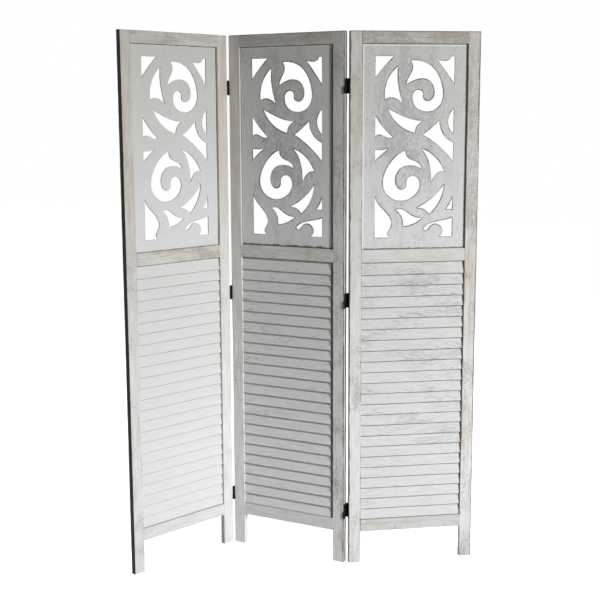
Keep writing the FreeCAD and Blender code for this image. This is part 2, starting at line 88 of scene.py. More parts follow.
# Bars: the points on the flats beside a rounded corner, the edge weight of the near ones, the
# spacing of the profiles along a bar, the profiles of an eased end, and how many times the ease the
# first full profile lies from it.
CORNER_NEAR = 0.0006
CORNER_FAR = (0.008, 0.004)
NEAR_WEIGHT = 0.7
BAR_STEP = 0.012
EASE_PROFILES = 4
EASE_RUN = 4.0
# Rounding of the rails as a share of the stiles' rounding, and wear on the stiles' ends.
RAIL_ROUNDING = 0.45
STILE_END_WEAR = 0.8
# Slats: rounding, its unevenness, the spacing of their profiles and the steps round a corner.
SLAT_RADIUS = 0.0012
SLAT_UNEVEN = 0.35
SLAT_STEP = 0.02
SLAT_ARC = 2
# Sleeves of the hinge links: eased ends, gap to the knuckles, and the tongue to the link plate.
SLEEVE_EASE = 0.0004
SLEEVE_CLEAR = 0.0003
TONGUE_THICK = 0.0012
TONGUE_REACH = 0.0038
# Fret boards: points nearer than this are one, edges sharper than this are eased, and faces whose
# normal is turned to a side by more than this look to that side.
MERGE_DISTANCE = 1e-6
SHARP_EDGE = math.radians(50.0)
FACING = 0.5
# Farthest place of a piece in the log, and the seeds of the random draws.
LOG_REACH = 20.0
STILE_SEED, RAIL_SEED, BAR_SEED_STEP = 100, 300, 10
LEAN_SEED, SLAT_SEED, LEAF_SEED_STEP = 500, 1000, 100
BOARD_SEED = 700

# Frame pieces: how bare, worn and light each is, and the wear of its corners in the order right back, left
# back, left front, right front of a stile, or lower back, upper back, upper front, lower front of a rail.
# The lightness is partly painted shade, darker on the right leaf for the way the light falls on it.
EVEN_WEAR = (0.4, 0.4, 0.4, 0.4)
UPPER_WEAR = (0.2, 0.8, 1.0, 0.2)
FULL_WEAR = (1.0, 1.0, 1.0, 1.0)
FRAME_PIECES = {
    "left_panel_left_stile": (0.3, 0.4, 0.95, EVEN_WEAR),
    "left_panel_right_stile": (0.15, 0.3, 1.0, EVEN_WEAR),
    "left_panel_top_rail": (0.4, 0.3, 0.97, EVEN_WEAR),
    "left_panel_middle_rail": (0.65, 0.3, 0.94, EVEN_WEAR),
    "left_panel_bottom_rail": (0.15, 0.3, 0.94, EVEN_WEAR),
    "centre_panel_left_stile": (0.15, 0.85, 1.0, (0.2, 0.2, 1.0, 0.4)),
    "centre_panel_right_stile": (0.45, 1.0, 0.95, (1.0, 0.2, 0.2, 1.0)),
    "centre_panel_top_rail": (0.6, 0.85, 0.93, UPPER_WEAR),
    "centre_panel_middle_rail": (0.4, 0.3, 0.92, EVEN_WEAR),
    "centre_panel_bottom_rail": (0.15, 0.3, 0.9, EVEN_WEAR),
    "right_panel_left_stile": (0.35, 0.95, 0.885, (0.2, 0.2, 1.0, 0.8)),
    "right_panel_right_stile": (0.65, 1.1, 0.865, (0.6, 0.2, 0.5, 1.0)),
    "right_panel_top_rail": (1.0, 0.8, 0.8, UPPER_WEAR),
    "right_panel_middle_rail": (0.15, 0.3, 0.835, EVEN_WEAR),
    "right_panel_bottom_rail": (0.5, 0.3, 0.72, EVEN_WEAR),
}
# Pieces whose edges are rubbed to bare wood rather than dark.
RUBBED = ("right_panel_right_stile", "left_panel_left_stile")
# Painted light: the middle and right leaves are tinted cooler, for the cooler light that falls on them.
LIGHT_TINT = by_leaf((1.0, 1.0, 1.0), (1.0, 1.045, 1.04), (1.0, 1.03, 1.03))
# Stiles with painted shade: dark on all of the outer side, which faces away from the light, and a painted
# shadow of the next leaf on the back half of the side at the fold.
OUTER_STILE, FOLD_STILE = "left_panel_left_stile", "centre_panel_right_stile"
# Depth over which the painted shade on the outer side fades, depth of the side at the fold, how fast the
# painted shadow there rises, how far before the middle it starts, and its weight off that side.
SHADE_FADE = 0.002
SHADE_SIDE = 0.0008
SHADE_RISE = 400.0
SHADE_LEAD = 0.001
NO_SHADE = -3.0

# Boards and slats of each leaf: how smudged or streaked, and how light they are, the lightness being
# painted shade for the way the light falls on each leaf.
SMUDGED = by_leaf(0.0, 0.7, 0.9)
STREAKED = by_leaf(0.05, 0.6, 1.1)
BOARD_SHADE = by_leaf(1.0, 1.0, 0.85)
SLAT_SHADE = by_leaf(1.0, 0.98, 0.845)
# Where the planks of a fret board meet, as shares of the leaf's width.
SEAM_SHARES = (0.41, 0.63)
# Where the smudges of a board gather: share of the leaf's width, rise above the board's middle, and
# the scale of distances from there, which count half upright.
SMUDGE_SHARE, SMUDGE_RISE = 0.45, 0.06
SMUDGE_SQUASH = (1.0, 1.0, 0.5)
# Width of the painted shadow of the right stile at the right border of boards and slats, how far it narrows
# from a slat's upper to its lower edge, where a slat's line is half faded, and over what width it fades.
BORDER_SHADOW = by_leaf(0.001, 0.0085, 0.005)
LINE_TAPER = by_leaf(0.0, 0.0, 0.55)
LINE_HALF = 0.0007
LINE_FADE = 0.0015
# Depth of the dark line along a board's foot, and strength of the pale line along its left and
# upper border.
FOOT_LINE = by_leaf(0.0008, 0.0034, 0.0018)
PALE_LINE = by_leaf(0.0, 0.25, 0.6)
# Strength of the painted shadow of the middle rail along the head of the slats.
HEAD_SHADOW = by_leaf(0.85, 0.85, 0.15)

# Studio: side, place and aim of each square lamp, reach of the floor, the distances over which the
# floor's glow rises and its strength at both, and the sensor's width.
LAMPS = {
    "key": (0.45, (3.46, -1.4, 2.25), (0.05, 0.0, -0.1)),
    "back": (2.0, (0.15, 4.0, 1.2), (0.0, 0.0, 0.9)),
    "top": (1.5, (0.1, 2.0, 4.0), (0.0, 0.05, 1.6)),
}
FLOOR_REACH = 12.0
GLOW_NEAR, GLOW_FAR = 0.7, 2.2
GLOW_LOW, GLOW_FULL = 0.86, 1.0
SENSOR_WIDTH = 36.0
WHITE = (1.0, 1.0, 1.0)


def turned(first, second, angle):
    """Two coordinates turned by an angle in their plane."""
    cos, sin = math.cos(angle), math.sin(angle)
    return first * cos - second * sin, first * sin + second * cos


def leaf_place(leaf):
    """Origin and turn of a leaf: flat beside the middle one, then swung about its hinge pin."""
    if leaf == "centre":
        return LEAF_ORIGIN, 0.0
    joint = JOINTS["left_front_fold" if leaf == "left" else "right_back_fold"]
    pin = np.array(joint["pos_m"][:2])
    turn = -math.radians(joint["range_deg"][0])
    near_edge = LEAF_ORIGIN[0] if leaf == "left" else LEAF_ORIGIN[0] + LEAF_WIDTH
    step = LEAF_WIDTH + 2 * abs(pin[0] - near_edge)
    flat = LEAF_ORIGIN + np.array([-step if leaf == "left" else step, 0.0])
    return pin + np.array(turned(*(flat - pin), turn)), turn


def to_frame(points, leaf):
    """Leaf points (across, depth, height) turned about the upright axis and moved to the leaf."""
    origin, turn = leaf_place(leaf)
    x, y = turned(points[:, 0], points[:, 1], turn)
    return np.stack([origin[0] + x, origin[1] + y, points[:, 2]], axis=1)


def to_leaf(points, leaf):
    """Frame points taken back to (across, depth, height) of a leaf."""
    origin, turn = leaf_place(leaf)
    across, depth = turned(points[:, 0] - origin[0], points[:, 1] - origin[1], -turn)
    return np.stack([across, depth, points[:, 2]], axis=1)


# Properties.

def number(title, note, value, low, high, **kind):
    """A number with its default and limits."""
    return bpy.props.FloatProperty(
        name=title, description=note, default=value, min=low, max=high, **kind)


def metres(title, note, *values):
    """A length with its default and limits in metres."""
    return number(title, note, *values, precision=4, unit="LENGTH")


def degrees(title, note, value, low=-180.0, high=180.0):
    """An angle with its default and limits in degrees."""
    return number(title, note, *map(math.radians, (value, low, high)), subtype="ANGLE")


def watts(title, note, value):
    """A lamp's power with its default in watts."""
    return number(title, note, value, 0.0, 1000.0, unit="POWER")


def colour(title, note, value):
    """A colour with its default."""
    return bpy.props.FloatVectorProperty(
        name=title, description=note, default=value, size=3, min=0.0, max=1.0, subtype="COLOR")


class ScreenSizes(bpy.types.PropertyGroup):
    """Sizes of the wooden pieces."""
    edge_radius: metres("Edge radius", "Mean rounding of the frame's long edges", 0.0014, 0.0002, 0.004)
    edge_uneven: number(
        "Uneven edges", "How much the rounding varies along a piece", 0.55, 0.0, 0.9, subtype="FACTOR")
    slat_count: bpy.props.IntProperty(
        name="Slats", description="Louvre slats in one leaf", default=24, min=2, max=60)
    slat_thick: metres("Slat thickness", "Face to face of one slat", 0.005, 0.002, 0.02)
    slat_depth: metres("Slat depth", "Edge to edge of one slat", 0.041, 0.01, 0.1)
    slat_tilt: degrees("Slat lean", "Lean of the slats, lower edges to the front", 12.0, 0.0, 60.0)
    slat_play: degrees("Slat play", "Small differences in lean from slat to slat", 0.7, 0.0, 1.0)
    slat_housing: metres("Slat housing", "Length of a slat's end that sits in a stile", 0.0015, 0.0, 0.006)
    # The rubbed line is partly painted shade of the sawn walls.
    rim_width: metres("Cut rim", "Width of the rubbed line along the cut-outs", 0.0045, 0.0005, 0.008)
    cut_bevel: metres("Cut edge", "Rounding of the sawn edges of the fret boards", 0.0006, 0.0001, 0.0014)


class ScreenColours(bpy.types.PropertyGroup):
    """Colours of the finishes."""
    frame_low: colour("Frame wash, low", "Wash on the lower frame", (0.785, 0.787, 0.785))
    # Darker than the lower wash: painted shade that darkens the frame higher up; the wash is also warmer
    # there.
    frame_high: colour("Frame wash, high", "Thinner, warmer wash on the upper frame", (0.60, 0.566, 0.51))
    bare_wood: colour("Bare wood", "Wood that shows where the wash is thin", (0.36, 0.27, 0.19))
    thin_wash: colour("Thin wash", "Grey-brown of the wood through a thin wash", (0.33, 0.305, 0.27))
    # This colour, often darkened, also paints shade and shadow: the outer side and the fold of the frame,
    # the boards' borders and cuts, and the slats' right ends and head.
    worn_edge: colour("Worn edge", "Dark line along the edges beside the folds", (0.085, 0.078, 0.07))
    rubbed_edge: colour("Rubbed edge", "Bare rubbed wood along the outer edges", (0.15, 0.107, 0.1))
    board_wash: colour("Board wash, low", "Cool wash of the fret boards' lower ends", (0.665, 0.669, 0.665))
    # Darker than the lower wash: painted shade that darkens the boards higher up.
    board_high: colour(
        "Board wash, high", "Thinner wash of the fret boards' upper ends", (0.58, 0.584, 0.553))
    board_smudge: colour("Board smudge", "Grey smudges on the fret boards", (0.30, 0.30, 0.30))
    cut_wall: colour("Sawn wall", "Sawn walls of the cut-outs", (0.20, 0.19, 0.175))
    slat_wash: colour("Slat wash, low", "White wash of the lower slats", (0.71, 0.71, 0.715))
    # Darker than the lower wash: painted shade that darkens the slats higher up.
    slat_high: colour("Slat wash, high", "Thinner wash of the upper slats", (0.64, 0.64, 0.625))
    slat_streak: colour("Slat streak", "Grey streaks along the slats", (0.30, 0.30, 0.32))
    hinge_paint: colour("Hinge paint", "Black satin paint of the hinges", (0.011, 0.0103, 0.0096))
    hinge_rubbed: colour("Rubbed paint", "Greyer spots on the hinges' paint", (0.035, 0.034, 0.032))
    dowel_wood: colour("Dowel wood", "Plain beech of the dowels", (0.55, 0.38, 0.23))


class ScreenStage(bpy.types.PropertyGroup):
    """Studio, light and camera."""
    lens: number("Lens", "Focal length on a 36 mm sensor", 67.25, 20.0, 200.0, unit="CAMERA")
    camera_place: bpy.props.FloatVectorProperty(
        name="Camera place", description="Where the camera stands", size=3,
        default=(1.6077, -3.0838, 1.4447), subtype="TRANSLATION", unit="LENGTH")
    camera_turn: degrees("Camera turn", "Camera's heading to the left of +Y", 27.741)
    camera_pitch: degrees("Camera pitch", "How far the camera looks down", 9.326)
    camera_roll: degrees("Camera roll", "Clockwise roll of the camera", 0.234)
    key_power: watts("Key lamp", "Power of the soft lamp at the right", 45.3)
    key_spread: degrees("Key spread", "Angle that the grid of the key lamp lets through", 90.0, 10.0, 180.0)
    back_power: watts("Back lamp", "Power of the soft lamp behind the screen", 80.0)
    top_power: watts("Top lamp", "Power of the soft lamp above and behind the screen", 50.0)
    sky: number("Ambient", "Strength of the even light from all round", 0.025, 0.0, 1.0, precision=3)
    floor_colour: colour("Floor", "Colour of the studio floor", (0.72, 0.72, 0.72))


# Surfaces.

def ripple(length, seed, waves=5, shortest=0.05):
    """Smooth noise along a line: a sum of seeded sine waves of mixed lengths, about -1 to 1."""
    draw = np.random.default_rng(seed)
    counts = draw.uniform(1.0, 1.0 / shortest, waves)
    phases = draw.uniform(0.0, 2.0 * np.pi, waves)
    wave = np.sin(np.outer(length, counts * 2.0 * np.pi) + phases)
    return wave.sum(axis=1) / math.sqrt(2.0 * waves)


def bar_stations(length, ease, step):
    """Stations along a bar and the inset of its profile there.

    Over the ease at each end the inset falls from the ease to zero on a quarter circle.
    """
    angle = np.linspace(0.0, np.pi / 2.0, EASE_PROFILES)
    head = ease * (1.0 - np.cos(angle))
    inset = ease * (1.0 - np.sin(angle))
    edge_run = EASE_RUN * ease
    count = max(2, int((length - 2.0 * edge_run) / step))
    middle = np.linspace(edge_run, length - edge_run, count)
    along = np.concatenate([head, middle, length - head[::-1]])
    return along, np.concatenate([inset, np.zeros_like(middle), inset[::-1]])


def lofted(rings, along):
    """Rings of points raised to their stations, the quads between them and the two end faces."""
    stations, around = rings.shape[:2]
    heights = np.broadcast_to(along[:, None, None], (stations, around, 1))
    points = np.concatenate([rings, heights], axis=2)
    first = np.arange(stations - 1)[:, None] * around
    place = np.arange(around)
    after = (place + 1) % around
    quads = np.stack(
        [first + place, first + after, first + around + after, first + around + place], axis=2)
    ends = np.stack([place[::-1], (stations - 1) * around + place])
    return points.reshape(-1, 3), quads.reshape(-1, 4), ends


def rounded_bar(length, width, thick, radius, uneven, seed,
                step=BAR_STEP, arc=3, worn=FULL_WEAR, end_wear=0.0):
    """Bar along the third axis, with width on the first and thickness on the second.

    The profile is a rounded rectangle: each corner is a quarter circle about a centre that lies
    one radius inside both sides, with two more points on the flats beside it.  The radius of each
    corner follows its own smooth noise along the bar, and the ends are eased.  Worn is the share
    of wear on each corner, which has half the radius without it, and end wear that on the two ends.
    Returns the points, the quads, the two end faces and the edge weight of each point.
    """
    along, inset = bar_stations(length, radius, step)
    half = np.array([width, thick]) / 2.0
    corners = np.array([[1, 1], [-1, 1], [-1, -1], [1, -1]])
    near = min(CORNER_NEAR, 0.1 * half.min())
    far = np.minimum(CORNER_FAR, 0.5 * (half - radius * (1.0 + uneven)))
    profile_weight = np.array([0.0, NEAR_WEIGHT] + [1.0] * (arc + 1) + [NEAR_WEIGHT, 0.0])
    rings, weights = [], []
    for count, corner in enumerate(corners):
        mean = radius * (0.5 + 0.5 * worn[count])
        bend = mean * (1.0 + uneven * np.clip(ripple(along, seed + count), -1.0, 1.0))
        angle = (count + np.linspace(0.0, 1.0, arc + 1)) * np.pi / 2.0
        middle = corner * (half - inset[:, None] - bend[:, None])
        turn = np.stack([np.cos(angle), np.sin(angle)], axis=1)
        curve = middle[:, None, :] + bend[:, None, None] * turn
        tangent = np.array([-np.sin(angle), np.cos(angle)]).T
        before = [curve[:, :1] - tangent[0] * gap for gap in (far[(count + 1) % 2], near)]
        after = [curve[:, -1:] + tangent[-1] * gap for gap in (near, far[count % 2])]
        rings.append(np.concatenate(before + [curve] + after, axis=1))
        weights.append(worn[count] * profile_weight)
    at_end = end_wear * (inset > 0.0)
    edge = np.maximum(np.concatenate(weights), at_end[:, None])
    return (*lofted(np.concatenate(rings, axis=1), along), edge.ravel())


def turned_barrel(length, radius, ease, around=24):
    """Barrel along the third axis: equal circles, drawn in on a quarter circle at each end."""
    along, inset = bar_stations(length, ease, length / 4.0)
    angle = np.arange(around) * 2.0 * np.pi / around
    circle = np.stack([np.cos(angle), np.sin(angle)], axis=1)
    return lofted((radius - inset)[:, None, None] * circle, along)


def laid_across(points):
    """A bar turned from upright to lie along the leaf's width."""
    return np.stack([points[:, 2], points[:, 1], -points[:, 0]], axis=1)


def grain_of(points, seed):
    """Wood coordinates of a piece: along, across and through it, at its own place in the log.

    Returns them and the shift to that place.
    """
    shift = np.random.default_rng(seed).uniform(-LOG_REACH, LOG_REACH, 3)
    return points[:, [2, 0, 1]] + shift, shift


def painted_shade_of(node, points):
    """Weight of the painted shade on the outer side of one stile, which faces away from the light, and of
    the painted shadow on the side of another at its fold.

    On the outer side it falls from 1 to 0 in a straight line from the arris.  On the other it rises
    in a straight line with the depth and passes 0.5 a little before the middle.
    """
    across = points[:, 0]
    if node == OUTER_STILE:
        return np.clip(1.0 - (across - across.min()) / SHADE_FADE, 0.0, 1.0)
    if node == FOLD_STILE:
        rise = 0.5 + SHADE_RISE * (points[:, 1] + SHADE_LEAD)
        return np.where(across > across.max() - SHADE_SIDE, rise, NO_SHADE)
    return np.zeros(len(points))


def put_attribute(mesh, name, values):
    """Store one number or one vector for each point."""
    values = np.asarray(values, np.float32)
    vector = values.ndim == 2
    layer = mesh.attributes.new(name, "FLOAT_VECTOR" if vector else "FLOAT", "POINT")
    layer.data.foreach_set("vector" if vector else "value", values.ravel())


def read_field(items, field, each=1, kind=np.float64):
    """One field of all points, corners or faces of a mesh, as an array."""
    values = np.empty(len(items) * each, kind)
    items.foreach_get(field, values)
    return values.reshape(-1, each) if each > 1 else values


def new_object(name, data):
    """A new object in the scene."""
    made = bpy.data.objects.new(name, data)
    bpy.context.scene.collection.objects.link(made)
    return made


def joined_piece(name, parts, marks, material, body):
    """One mesh of closed parts, each (points, quads, ends), with its attributes, riding on a body."""
    starts = np.cumsum([0] + [len(part[0]) for part in parts[:-1]])
    faces = []
    for start, part in zip(starts, parts):
        faces += (part[1] + start).tolist() + (part[2] + start).tolist()
    mesh = bpy.data.meshes.new(name)
    mesh.from_pydata(np.concatenate([part[0] for part in parts]).tolist(), [], faces)
    mesh.shade_smooth()
    for mark, values in marks.items():
        put_attribute(mesh, mark, values)
    mesh.materials.append(material)
    piece = new_object(name, mesh)
    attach(piece, body)
    return piece


# Finishes.

class Nodes:
    """Short hand for building one node tree."""

    def __init__(self, tree, material=None):
        self.tree = tree
        self.material = material
        self.tone = None
        tree.nodes.clear()

    def put(self, target, value):
        """Link a socket, or set a constant."""
        if isinstance(value, bpy.types.NodeSocket):
            self.tree.links.new(value, target)
        elif target.type == "RGBA":
            target.default_value = (*value, 1.0)
        else:
            target.default_value = value

    def node(self, kind, inputs=None, **settings):
        """Add a node, set its properties and fill its inputs."""
        made = self.tree.nodes.new(kind)
        for key, value in settings.items():
            setattr(made, key, value)
        for key, value in (inputs or {}).items():
            self.put(made.inputs[key], value)
        return made

    def math(self, operation, first, second=0.0):
        """One sum."""
        return self.node("ShaderNodeMath", {0: first, 1: second}, operation=operation).outputs[0]

    def times(self, first, second):
        """Product of two values."""
        return self.math("MULTIPLY", first, second)

    def plus(self, first, second):
        """Sum of two values."""
        return self.math("ADD", first, second)

    def less(self, first, second):
        """First value less the second."""
        return self.math("SUBTRACT", first, second)

    def ramp(self, value, low, high, start=0.0, end=1.0):
        """Smooth step from start to end while the value goes from low to high."""
        return self.node(
            "ShaderNodeMapRange",
            {"Value": value, "From Min": low, "From Max": high, "To Min": start, "To Max": end},
            interpolation_type="SMOOTHSTEP").outputs["Result"]

    def noise(self, vector, scale=1.0, detail=3.0, rough=0.55, distort=0.0):
        """Fractal noise, 0 to 1."""
        return self.node("ShaderNodeTexNoise", {
            "Vector": vector, "Scale": scale, "Detail": detail, "Roughness": rough,
            "Distortion": distort}).outputs["Fac"]

    def fibres(self, grain, along, across, detail, rough, distort=0.0):
        """Fractal noise drawn out along the grain, 0 to 1."""
        return self.noise(self.stretch(grain, along, across, across), 1.0, detail, rough, distort)

    def stretch(self, vector, along, across, through):
        """A vector with its axes scaled."""
        sizes = self.node("ShaderNodeCombineXYZ", {0: along, 1: across, 2: through}).outputs[0]
        return self.node("ShaderNodeVectorMath", {0: vector, 1: sizes}, operation="MULTIPLY").outputs[0]

    def distance(self, first, second=(0.0, 0.0, 0.0)):
        """Distance of two points."""
        return self.node(
            "ShaderNodeVectorMath", {0: first, 1: second}, operation="DISTANCE").outputs["Value"]

    def part(self, vector, axis):
        """One part of a vector."""
        return self.node("ShaderNodeSeparateXYZ", {0: vector}).outputs[axis]

    def mix(self, share, first, second):
        """Blend of two colours."""
        return self.node("ShaderNodeMix", {0: share, 6: first, 7: second}, data_type="RGBA").outputs[2]

    def cover(self, share, colour):
        """Blend a share of a colour over the tone so far."""
        self.tone = self.mix(share, self.tone, colour)

    def attribute(self, name, output="Fac"):
        """An attribute of the mesh."""
        return self.node("ShaderNodeAttribute", attribute_name=name).outputs[output]

    def place(self):
        """Place on the piece in metres."""
        return self.node("ShaderNodeTexCoord").outputs["Object"]

    def rise(self):
        """Height above the floor in metres."""
        return self.part(self.place(), "Z")

    def height(self):
        """Height as a share, 0 at the floor and 1 at the top of a leaf."""
        return self.math("DIVIDE", self.rise(), LEAF_HEIGHT)

    def effect(self, name, **inputs):
        """Outputs of one of the shared node groups, placed in this tree."""
        return self.node("ShaderNodeGroup", inputs, node_tree=shared_effect(name)).outputs


def new_effect(name, inputs, outputs):
    """An empty node group: inputs by name with their defaults, None for a vector, and its outputs."""
    tree = bpy.data.node_groups.new(name, "ShaderNodeTree")
    for title, default in inputs.items():
        kind = "NodeSocketVector" if default is None else "NodeSocketFloat"
        socket = tree.interface.new_socket(title, in_out="INPUT", socket_type=kind)
        if default is not None:
            socket.default_value = default
    for title in outputs:
        tree.interface.new_socket(title, in_out="OUTPUT", socket_type="NodeSocketFloat")
    make = Nodes(tree)
    return make, make.node("NodeGroupInput").outputs


def wood_grain():
    """Streaks and growth rings of wood, from its grain coordinates."""
    make, source = new_effect(
        "wood_grain", {"Grain": None, "Along": 4.0, "Across": 120.0}, ("Streak", "Ring"))
    grain, along, across = source["Grain"], source["Along"], source["Across"]
    streak = make.fibres(grain, along, across, 5.0, 0.62, 0.3)
    wide = make.times(across, 0.13)
    figure = make.fibres(grain, make.times(along, 0.4), wide, 1.5, 0.4, 0.6)
    ring = make.ramp(make.math("SINE", make.times(figure, 46.0)), -0.2, 1.0)
    make.node("NodeGroupOutput", {"Streak": streak, "Ring": ring})
    return make.tree


def worn_edge():
    """Mask of rubbed edges: noise that passes a level set by the edge weight and the amount."""
    make, source = new_effect("worn_edge", {"Grain": None, "Edge": 0.0, "Amount": 0.3}, ("Mask",))
    grain = source["Grain"]
    broken = make.fibres(grain, 26.0, 170.0, 4.0, 0.65)
    patches = make.fibres(grain, 5.0, 9.0, 2.0, 0.5)
    push = make.times(make.plus(broken, patches), 0.5)
    inner = make.times(make.less(source["Edge"], 1.0), 0.7)
    reach = make.plus(push, make.times(source["Amount"], 0.6))
    make.node("NodeGroupOutput", {"Mask": make.ramp(make.plus(reach, inner), 0.76, 0.94)})
    return make.tree


def rubbed_smudge():
    """Mask of rubbed-in marks: short crisp streaks along the grain, thicker in patches."""
    make, source = new_effect("rubbed_smudge", {
        "Grain": None, "Place": None, "Along": 30.0, "Across": 200.0, "Patch": 7.0, "Amount": 0.5,
        "Fill": 0.24}, ("Mask",))
    marks = make.fibres(source["Grain"], source["Along"], source["Across"], 4.0, 0.65, 0.2)
    patch = make.noise(source["Place"], source["Patch"], 2.0, 0.55, 0.3)
    cover = make.ramp(make.plus(patch, make.times(source["Amount"], 0.35)), 0.5, 0.95)
    mask = make.ramp(make.plus(marks, make.times(cover, source["Fill"])), 0.6, 0.76)
    make.node("NodeGroupOutput", {"Mask": mask})
    return make.tree


EFFECTS = {"wood_grain": wood_grain, "worn_edge": worn_edge, "rubbed_smudge": rubbed_smudge}


def shared_effect(name):
    """One of the shared node groups, built once."""
    return bpy.data.node_groups.get(name) or EFFECTS[name]()


def new_material(name):
    """The nodes of a new material, still empty, and the screen's colours."""
    material = bpy.data.materials.new(name)
    material.use_nodes = True
    return Nodes(material.node_tree, material), bpy.context.scene.screen_colours


def surface(make, roughness, relief, strength, depth, gloss):
    """The finished material: a shader with the tone so far and a bump of some strength and depth."""
    bump = make.node("ShaderNodeBump", {"Strength": strength, "Distance": depth, "Height": relief})
    shader = make.node("ShaderNodeBsdfPrincipled", {
        "Base Color": make.tone, "Roughness": roughness, "Specular IOR Level": gloss,
        "Normal": bump.outputs[0]})
    make.node("ShaderNodeOutputMaterial", {"Surface": shader.outputs[0]})
    return make.material


def shaded(tone, share, light_tint=WHITE):
    """A colour made lighter or darker, and tinted."""
    return tuple(min(1.0, part * share * hue) for part, hue in zip(tone, light_tint))


def frame_finish(node, light_tint):
    """Limewash over open-grained wood: darker and warmer high up, the darkening being painted shade, and
    rubbed at the edges.

    Bare is how much wood shows in the grain, wear how far the edges are rubbed, and shade and light tint
    how light and warm the wash is; the shade is partly painted shade and the light tint is painted light,
    for the way the light falls on each leaf.
    """
    bare, wear, shade, _ = FRAME_PIECES[node]
    make, tones = new_material(f"limewash_{node}")
    grain, height = make.attribute("grain", "Vector"), make.height()
    wood = make.effect("wood_grain", Grain=grain, Along=14.0, Across=210.0)
    streak = wood["Streak"]
    worn = make.effect("worn_edge", Grain=grain, Edge=make.attribute("edge"), Amount=wear)["Mask"]
    patch = make.effect(
        "rubbed_smudge", Grain=grain, Place=grain, Along=4.0, Across=60.0, Patch=7.0,
        Amount=bare)["Mask"]
    speck = make.effect(
        "rubbed_smudge", Grain=grain, Place=grain, Along=120.0, Across=260.0, Patch=12.0,
        Amount=0.1 + 0.8 * bare)["Mask"]
    # Wash, darker and warmer higher up, the darkening being painted shade, and thinner in streaks and
    # clouds.
    make.tone = make.mix(
        make.ramp(height, 0.15, 0.88),
        shaded(tones.frame_low, shade), shaded(tones.frame_high, shade, light_tint))
    make.cover(make.ramp(streak, 0.34, 0.66, 0.0, 0.3), tones.thin_wash)
    cloud = make.fibres(grain, 6.0, 34.0, 3.0, 0.55, 0.4)
    make.cover(make.ramp(cloud, 0.46, 0.68, 0.0, 0.4), shaded(tones.frame_low, 0.9 * shade))
    make.cover(make.ramp(cloud, 0.3, 0.48, 0.1 + 0.3 * bare, 0.0), tones.thin_wash)
    # Bare wood along the rings and in patches, and specks.
    rings = make.times(make.times(wood["Ring"], patch), 0.7 * bare)
    make.cover(rings, tones.bare_wood)
    make.cover(make.times(patch, 0.35 * bare), tones.bare_wood)
    make.cover(
        make.times(speck, min(0.85, 0.45 + 0.25 * bare)),
        shaded(tones.thin_wash, 1.0 - 0.15 * min(1.0, bare)))
    # Rubbed edges, a dark line along the top, and painted shade: dark on the outer side, and a painted
    # shadow at the fold.
    make.cover(make.times(worn, 0.85), tones.rubbed_edge if node in RUBBED else tones.worn_edge)
    head = make.plus(height, make.times(streak, 0.001))
    make.cover(make.ramp(head, 0.9984, 0.9996, 0.0, max(0.0, wear - 0.35)), tones.worn_edge)
    stain = make.ramp(make.attribute("stain"), 0.2, 0.8)
    make.cover(stain, shaded(tones.worn_edge, 0.2))
    return surface(make, make.ramp(streak, 0.3, 0.8, 0.62, 0.82), streak, 0.4, 0.0006, 0.3)


